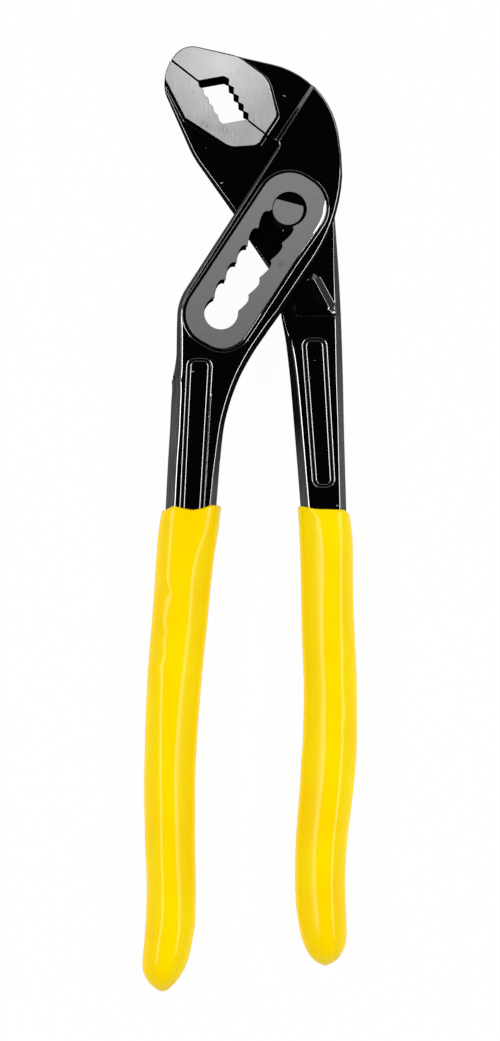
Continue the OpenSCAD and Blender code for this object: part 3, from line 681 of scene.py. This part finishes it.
# Corners with a radius and the width of the slope there, which is narrow on the left, so that the lower half clears
# the upper half's handle at the last setting
guard = rounded([
    (6.05, -16.7, 0.8, 1.4), (5.312, -18.559, 0, 0.7), (2.669, -25.22, 0, 0.7), (2.3, -26.15, 0.5, 0.9),
    (3.6, -26.15, 0, guard_slope), (9.9, -26.15, 0, guard_slope), (11.15, -26.15, 0.6, guard_slope),
    (10.533, -25.006, 0, guard_slope), (7.0, -18.46, 0, guard_slope)])
arm = rounded([
    (1.35, -27.2, 0.3, 0.3), (0.82, -29, 0, 0.3), (0.67, -30, 0, 0.3), (0.42, -31.8, 0, 0.3), (0.28, -33, 0, 0.45),
    (0.3, -36, 0, arm_slope), (-1, -42, 0, arm_slope), (-4, -230, 0, arm_slope), (40, -230, 0, arm_slope),
    (40, -27.2, 0, arm_slope), (2.6, -27.2, 0, arm_slope)])
lower_panel = panel_loop((6.9, -33.4), (9.65, -73.9), 3.55, 3.2, 2.6)


def lower_level(p):
    """Half thickness: the thin tongue, with the raised pad, the domed guard, the raised handle and the sunk panel."""
    h = web_half + (pad_half - web_half) * (1 - ramp(-depth(p, lower_pad)[0] / lower_pad_slope))
    d, slope = depth(p, guard)
    rise = guard_rise * (1 - ramp(-d / slope, guard_soft))
    h = np.maximum(h, web_half + rise + guard_dome * ramp(d / dome_reach, dome_soft))
    d, slope = depth(p, arm)
    h = np.maximum(h, web_half + (arm_half - web_half) * ramp(d / slope))
    h = h - panel_depth * ramp(depth(p, lower_panel)[0] / panel_slope, panel_soft)
    return h - tang_step * ramp((tang_top - p[:, 1]) / tang_run)


guard_mid = guard[:, :2].mean(0)
dome_lines = [closed(guard_mid + (guard[:, :2] - guard_mid) * share) for share in (0.85, 0.7, 0.5, 0.3, 0.1)]
lower_lines = (bands(lower_pad, lower_pad_slope, True) + bands(guard, guard_slope, True)
               + bands(arm, arm_slope, False) + bands(lower_panel, panel_slope, False) + dome_lines)
lower_jaw = forging("lower_jaw_forging", lower_outline, lower_level, [pin_bore], [], lower_lines,
                    [(jaw_bright, lower_pad)], outer=1)
for mat in forging_finishes:
    lower_jaw.data.materials.append(mat)
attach(lower_jaw, "lower_half")
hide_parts("lower_jaw_half")

# Pivot pin: turned steel with a locking flat on both ends, ground flush with the oblong faces.
# Its wider shank is held between the two cheeks of the box.
pin_r, pin_flat, flat_turn, shank_r, shank_half = 4.2, 2.0, np.radians(75), 4.8, 3.05
pin_bevel, flat_bevel, pin_pole, pin_turns = 0.15, 0.1, 1e-4, 96
play, no_play = (0.02, 0.08), (0, 0)


def grid_faces(rows, cols):
    """Triangles between neighbouring rows of a grid that closes round its columns."""
    i, j = np.meshgrid(np.arange(rows - 1), np.arange(cols), indexing="ij")
    k = (j + 1) % cols
    a, b, c, d = i * cols + j, i * cols + k, (i + 1) * cols + k, (i + 1) * cols + j
    return np.concatenate([np.stack([a, b, c], 2).reshape(-1, 3), np.stack([a, c, d], 2).reshape(-1, 3)])


def pin_ring(r, flat, centre, z):
    """Circle of radius r, cut off at the distance flat from its centre towards the locking flat."""
    across, along = arc(r, np.linspace(0, 2 * np.pi, pin_turns + 1)[:-1]).T
    across = np.minimum(across, flat)
    x = across * np.cos(flat_turn) - along * np.sin(flat_turn) + centre[0]
    y = across * np.sin(flat_turn) + along * np.cos(flat_turn) + centre[1]
    return np.column_stack([x, y, np.full(pin_turns, z)])


pin_top, shank_foot, shank_top = 2 * parting_plane, parting_plane - shank_half, parting_plane + shank_half
pin_rows = [
    pin_ring(pin_pole, pin_flat, play, 0),
    pin_ring(pin_r - pin_bevel, pin_flat - flat_bevel, play, 0),
    pin_ring(pin_r, pin_flat, play, pin_bevel),
    pin_ring(pin_r, pin_flat, play, shank_foot),
    pin_ring(shank_r, shank_r, no_play, shank_foot),
    pin_ring(shank_r, shank_r, no_play, shank_top),
    pin_ring(pin_r, pin_flat, play, shank_top),
    pin_ring(pin_r, pin_flat, play, pin_top - pin_bevel),
    pin_ring(pin_r - pin_bevel, pin_flat - flat_bevel, play, pin_top),
    pin_ring(pin_pole, pin_flat, play, pin_top)]
pin_faces = grid_faces(len(pin_rows), pin_turns)
row = pin_faces.min(1) // pin_turns
turned = (row > 0) & (row < len(pin_rows) - 2)
pin = solid("pivot_pin_steel", np.concatenate(pin_rows), pin_faces, turned)
# Turned shank: steel painted near black as painted shade for the narrow gap it shows through, with fine rings from the
# lathe
shank_painted_shade, tree, shader, where = surface(
    "turned_steel_painted_shade", Base_Color=linear("#1c1c1c"), Metallic=1.0, Roughness=0.4)
round_z = put(tree, "Mapping", {"Scale": (metre / 20, metre / 20, metre / 0.4)}, {"Vector": where})
ring = put(tree, "TexNoise", {"Scale": 1.0, "Detail": 2.0}, {"Vector": round_z.outputs[0]})
tone = put(tree, "Mix", {tint_a: linear("#121212"), tint_b: linear("#303030")},
           {"Factor": ring.outputs["Fac"]}, data_type="RGBA")
tree.links.new(tone.outputs[tint_out], shader.inputs["Base Color"])
pin.data.materials.append(boss_steel)
pin.data.materials.append(shank_painted_shade)
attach(pin, "pin")
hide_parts("pivot_pin")

# Handle sleeves: soft PVC, dipped hot over the two handles, so the wall follows the forged section.
# The dip leaves a wavy lip, uneven folds over the handle's edges and a drip at the blunt end.
sleeve_power, sleeve_turns, fold_soft, least_half = 2.9, 200, 0.026, 0.02
# Lengths of the runs behind the lip and round the tip, and of the lip's wave. The hollow closes short of the tip.
lip_run, tip_run, wave_run, hollow_end, hollow_run = 12, 14, 9, 4, 8


def sleeve(name, edges, crown, folds, lip):
    """A dipped sleeve: soft sections carried along the handle, up inside the wall, round the lip and down outside.

    A section is a squared ellipse: |x / half width| and |z / half thickness|, each to the same power, add up to 1.
    Beyond two folds, which show the edges of the handle underneath, it falls off further: z is lessened by a share
    that grows with the distance past the fold. Near the lip the rows follow its wave.
    """
    lip_y, tip_y = edges[0][0], edges[-1][0]
    half_lip = sleeve_wall / 2
    bend_y, length = lip_y - half_lip, lip_y - tip_y
    bend = np.linspace(np.pi, 0, 9)
    deep = bend_y - (bend_y - tip_y - hollow_end) * np.linspace(1, 0, 60)[:-1]
    run = np.concatenate([np.linspace(0, lip_run, 16)[:-1], np.linspace(lip_run, length - tip_run, 90)[:-1],
                          length - tip_run * np.cos(np.linspace(0, np.pi / 2, 40))])
    y = np.maximum(np.concatenate([deep, bend_y + half_lip * np.sin(bend), (bend_y - run)[1:]]), tip_y)
    grow = np.concatenate([np.full(len(deep), -sleeve_wall), half_lip * (np.cos(bend) - 1),
                           np.zeros(len(run) - 1)])[:, None]
    left, right = smooth(edges, y).T[:, :, None]
    thick = smooth(crown, y)
    fold_l, fold_r, fall_l, fall_r = smooth(folds, y).T[:, :, None]
    closing = np.clip((y - tip_y - hollow_end) / hollow_run, 0, 1) ** 0.5
    shut = np.where(np.arange(len(y)) < len(deep), closing, 1)[:, None]
    w = np.maximum((right - left) / 2 + grow, least_half)
    t = np.maximum(thick + grow, least_half)
    a = (np.arange(sleeve_turns) + 0.5) / sleeve_turns * 2 * np.pi
    c, s = np.cos(a), np.sin(a)
    far = (np.abs(c / w) ** sleeve_power + np.abs(s / t) ** sleeve_power) ** (-1 / sleeve_power)
    share = far * c / w / 2 + 0.5
    fall = fold_soft * (fall_l * np.logaddexp(0, (fold_l - share) / fold_soft)
                        + fall_r * np.logaddexp(0, (share - fold_r) / fold_soft))
    x = (right + left) / 2 + shut * far * c
    z = shut * far * s * (1 - 2 * fall * w / t)
    across = np.clip((x - left) / (right - left), 0, 1)
    y = y[:, None]
    y = y + np.interp(across, *np.array(lip).T) * np.clip(1 - (lip_y - y) / wave_run, 0, 1) ** 2
    grid = np.stack([x, y, z + parting_plane], 2)
    return solid(name, grid.reshape(-1, 3), grid_faces(len(y), sleeve_turns)[:, ::-1], sharp=60)


# Soft glossy PVC: strong warm yellow, cloudy where the dip is thicker, with slow waves
vinyl, tree, shader, where = surface(
    "dipped_yellow_pvc", Base_Color=linear("#ffdc00"), Roughness=0.22, IOR=1.53, Specular_IOR_Level=0.14)
cloud = put(tree, "TexNoise", {"Scale": metre / 22, "Detail": 2.0}, {"Vector": where})
spread = put(tree, "MapRange", {"From Min": 0.3, "From Max": 0.7}, {"Value": cloud.outputs["Fac"]})
tone = put(tree, "Mix", {tint_a: linear("#ffd400"), tint_b: linear("#ffe200")},
           {"Factor": spread.outputs[0]}, data_type="RGBA")
wave = put(tree, "TexNoise", {"Scale": metre / 9.0, "Detail": 2.0}, {"Vector": where})
bump = put(tree, "Bump", {"Strength": 0.25, "Distance": 0.3 * mm}, {"Height": wave.outputs["Fac"]})
tree.links.new(tone.outputs[tint_out], shader.inputs["Base Color"])
tree.links.new(bump.outputs["Normal"], shader.inputs["Normal"])

# Edges: y, left, right. Crown: y, half thickness. Folds: y, the two places across the width, the fall beyond each.
# Lip: place across the width, wave.
left_edges = [
    (-78.4, -33.7, -17.75), (-85.9, -34.65, -18.65), (-92.4, -35.2, -19.7), (-102, -35.8, -20.75),
    (-111.7, -36.55, -21.65), (-121.3, -37.35, -22.65), (-130.9, -37.9, -23.5), (-140.6, -38.2, -24.2),
    (-153.5, -38.45, -24.75), (-169.5, -38.15, -24.75), (-179.2, -37.75, -24.55), (-188.8, -37.95, -24.65),
    (-195.3, -38.45, -25.55), (-198.5, -38.75, -26.2), (-201.7, -38.9, -27.3), (-204.9, -37.85, -29.15),
    (-207, -36.1, -31), (-208.1, -34.7, -32.3), (-208.5, -33.6, -33.2)]
left_crown = [
    (-78.4, 6.5), (-197, 6.5), (-200, 6.3), (-203, 5.6), (-205.5, 4.3), (-207.2, 2.7), (-208.1, 1.4), (-208.5, 0.1)]
left_folds = [
    (-78.4, 0.15, 0.93, 0.25, 0.3), (-85.3, 0.18, 0.83, 0.4, 0.4), (-92, 0.2, 0.68, 0.42, 0.42),
    (-98, 0.21, 0.64, 0.5, 0.45), (-100.5, 0.28, 0.64, 0.7, 0.45), (-103, 0.35, 0.65, 0.22, 0.45),
    (-106.5, 0.28, 0.66, 0.2, 0.45), (-109.5, 0.25, 0.66, 0.22, 0.45), (-111.7, 0.27, 0.66, 0.6, 0.45),
    (-114.2, 0.3, 0.65, 0.2, 0.45), (-117.5, 0.28, 0.65, 0.6, 0.45), (-121.3, 0.28, 0.64, 0.2, 0.45),
    (-126, 0.29, 0.62, 0.4, 0.45), (-134, 0.31, 0.6, 0.4, 0.45), (-146, 0.34, 0.58, 0.45, 0.45),
    (-158, 0.36, 0.6, 0.5, 0.45), (-172, 0.35, 0.62, 0.5, 0.45), (-185, 0.36, 0.66, 0.5, 0.45),
    (-195, 0.32, 0.68, 0.45, 0.45), (-208.5, 0.4, 0.6, 0.2, 0.2)]
left_lip = [(0, -1.2), (0.06, -1.2), (0.2, 0), (0.52, -1.1), (0.7, -0.6), (0.84, 0.3), (1, 0)]
right_edges = [
    (-78.4, 2.7, 16.5), (-82.7, 3, 17), (-89.1, 3.3, 17.5), (-102, 3.6, 17.6), (-114.9, 3.9, 18.1),
    (-127.7, 4.35, 18.6), (-140.6, 4.1, 18.6), (-147, 3.65, 18.35), (-153.5, 3.3, 17.75), (-159.9, 2.8, 17),
    (-166.3, 2.3, 16.2), (-172.8, 2.05, 15.65), (-179.2, 2, 15.45), (-185.6, 2.3, 15.6), (-192.1, 3.3, 15.85),
    (-195.3, 4.15, 15.6), (-198.5, 5.75, 14.3), (-200.3, 7.4, 12.7), (-201.2, 9.2, 10.9), (-201.6, 9.9, 10.2)]
right_crown = [
    (-78.4, 6.5), (-190, 6.5), (-193, 6.3), (-196, 5.6), (-198.5, 4.3), (-200.2, 2.7), (-201.2, 1.3), (-201.6, 0.1)]
right_folds = [
    (-78.4, 0.3, 0.88, 0.2, 0.3), (-82, 0.4, 0.84, 0.45, 0.35), (-93, 0.46, 0.79, 0.45, 0.38),
    (-103, 0.43, 0.77, 0.45, 0.4), (-112, 0.41, 0.74, 0.45, 0.42), (-116.5, 0.4, 0.7, 0.45, 0.2),
    (-121, 0.4, 0.71, 0.45, 0.42), (-129, 0.41, 0.71, 0.45, 0.42), (-133, 0.41, 0.69, 0.45, 0.2),
    (-138, 0.42, 0.71, 0.45, 0.42), (-146, 0.43, 0.71, 0.45, 0.42), (-170, 0.4, 0.72, 0.45, 0.45),
    (-191, 0.45, 0.72, 0.45, 0.45), (-201.6, 0.45, 0.6, 0.2, 0.2)]
right_lip = [(0, -0.2), (0.08, 0), (0.33, -0.8), (0.88, -1), (1, -2)]
for name, shape, body, node in (
        ("left_dipped_sleeve", (left_edges, left_crown, left_folds, left_lip), "upper_half", "left_grip"),
        ("right_dipped_sleeve", (right_edges, right_crown, right_folds, right_lip), "lower_half", "right_grip")):
    obj = sleeve(name, *shape)
    obj.data.materials.append(vinyl)
    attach(obj, body)
    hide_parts(node)

# Studio: a sheet of pale paper under the tool, a long soft light on either side with a smaller one at each upper
# corner, and a camera straight above the middle of the tool. Floor and lamps are placed and sized in metres.
floor_half, floor_z = 60, -0.2 * mm
floor_mesh = bpy.data.meshes.new("floor")
floor_mesh.from_pydata([(-floor_half, -floor_half, floor_z), (floor_half, -floor_half, floor_z),
                        (floor_half, floor_half, floor_z), (-floor_half, floor_half, floor_z)], [], [(0, 1, 2, 3)])
floor = bpy.data.objects.new("floor", floor_mesh)
scene.collection.objects.link(floor)
# White paper: matt, and seen as a plain white background by the camera and in part by mirror-like surfaces
seen_white, mirrored_white = 0.975, 0.25
paper, tree, shader, where = surface("white_paper", Base_Color=linear("#f4f4f4"), Roughness=0.9)
ray = put(tree, "LightPath")
mirrored = put(tree, "Math", None, {0: ray.outputs["Is Glossy Ray"], 1: ray.outputs["Is Transmission Ray"]},
               operation="ADD")
share = put(tree, "Math", {1: mirrored_white}, {0: mirrored.outputs[0]}, operation="MULTIPLY")
seen = put(tree, "Math", {1: seen_white}, {0: ray.outputs["Is Camera Ray"], 2: share.outputs[0]},
           operation="MULTIPLY_ADD")
glow = put(tree, "Emission", {"Color": linear("#ffffff"), "Strength": 1.0})
both = put(tree, "MixShader", None, {0: seen.outputs[0], 1: shader.outputs[0], 2: glow.outputs[0]})
tree.links.new(both.outputs[0], tree.nodes["Material Output"].inputs["Surface"])
floor_mesh.materials.append(paper)

lamp_far, lamp_tilt = 0.85, np.radians(45)
for name, turn, y, wide, long, power in (
        ("left_softbox", 180, -0.18, 0.35, 0.8, 9.15), ("right_softbox", 0, -0.22, 0.35, 0.85, 9.15),
        ("left_corner_softbox", 147, 0, 0.3, 0.4, 1.2), ("right_corner_softbox", 40, 0, 0.3, 0.5, 2.0)):
    lamp = bpy.data.lights.new(name, "AREA")
    lamp.shape = "RECTANGLE"
    lamp.size, lamp.size_y, lamp.energy = wide, long, power
    obj = bpy.data.objects.new(name, lamp)
    turn = np.radians(turn)
    obj.location = (lamp_far * np.cos(turn), lamp_far * np.sin(turn) + y, lamp_far)
    obj.rotation_euler = (0, lamp_tilt, turn)
    scene.collection.objects.link(obj)

world = bpy.data.worlds.new("studio")
scene.world = world
world.use_nodes = True
tree = world.node_tree
way = put(tree, "TexCoord").outputs["Generated"]
up = put(tree, "SeparateXYZ", None, {"Vector": way})
fade = put(tree, "MapRange", {"From Min": 0.05, "From Max": 0.55, "To Min": 0.6, "To Max": 0.003},
           {"Value": up.outputs["Z"]})
tree.nodes["Background"].inputs["Color"].default_value = linear("#ffffff")
tree.links.new(fade.outputs[0], tree.nodes["Background"].inputs["Strength"])

# The image is 1041 pixels high, of which the tool's 250 mm take up 944
image_high, tool_high, tool_long = 1041, 944, 250
camera_x, camera_y, camera_far, sensor = -10.06, -82.3, 545, 36
camera = bpy.data.cameras.new("camera")
camera.sensor_fit = "VERTICAL"
camera.sensor_height = sensor
camera.lens = sensor * camera_far / (image_high * tool_long / tool_high)
camera.clip_start = 0.01
view = bpy.data.objects.new("camera", camera)
view.location = (camera_x * mm, camera_y * mm, (pin_top + camera_far) * mm)
scene.collection.objects.link(view)
scene.camera = view
scene.view_settings.view_transform = "Standard"
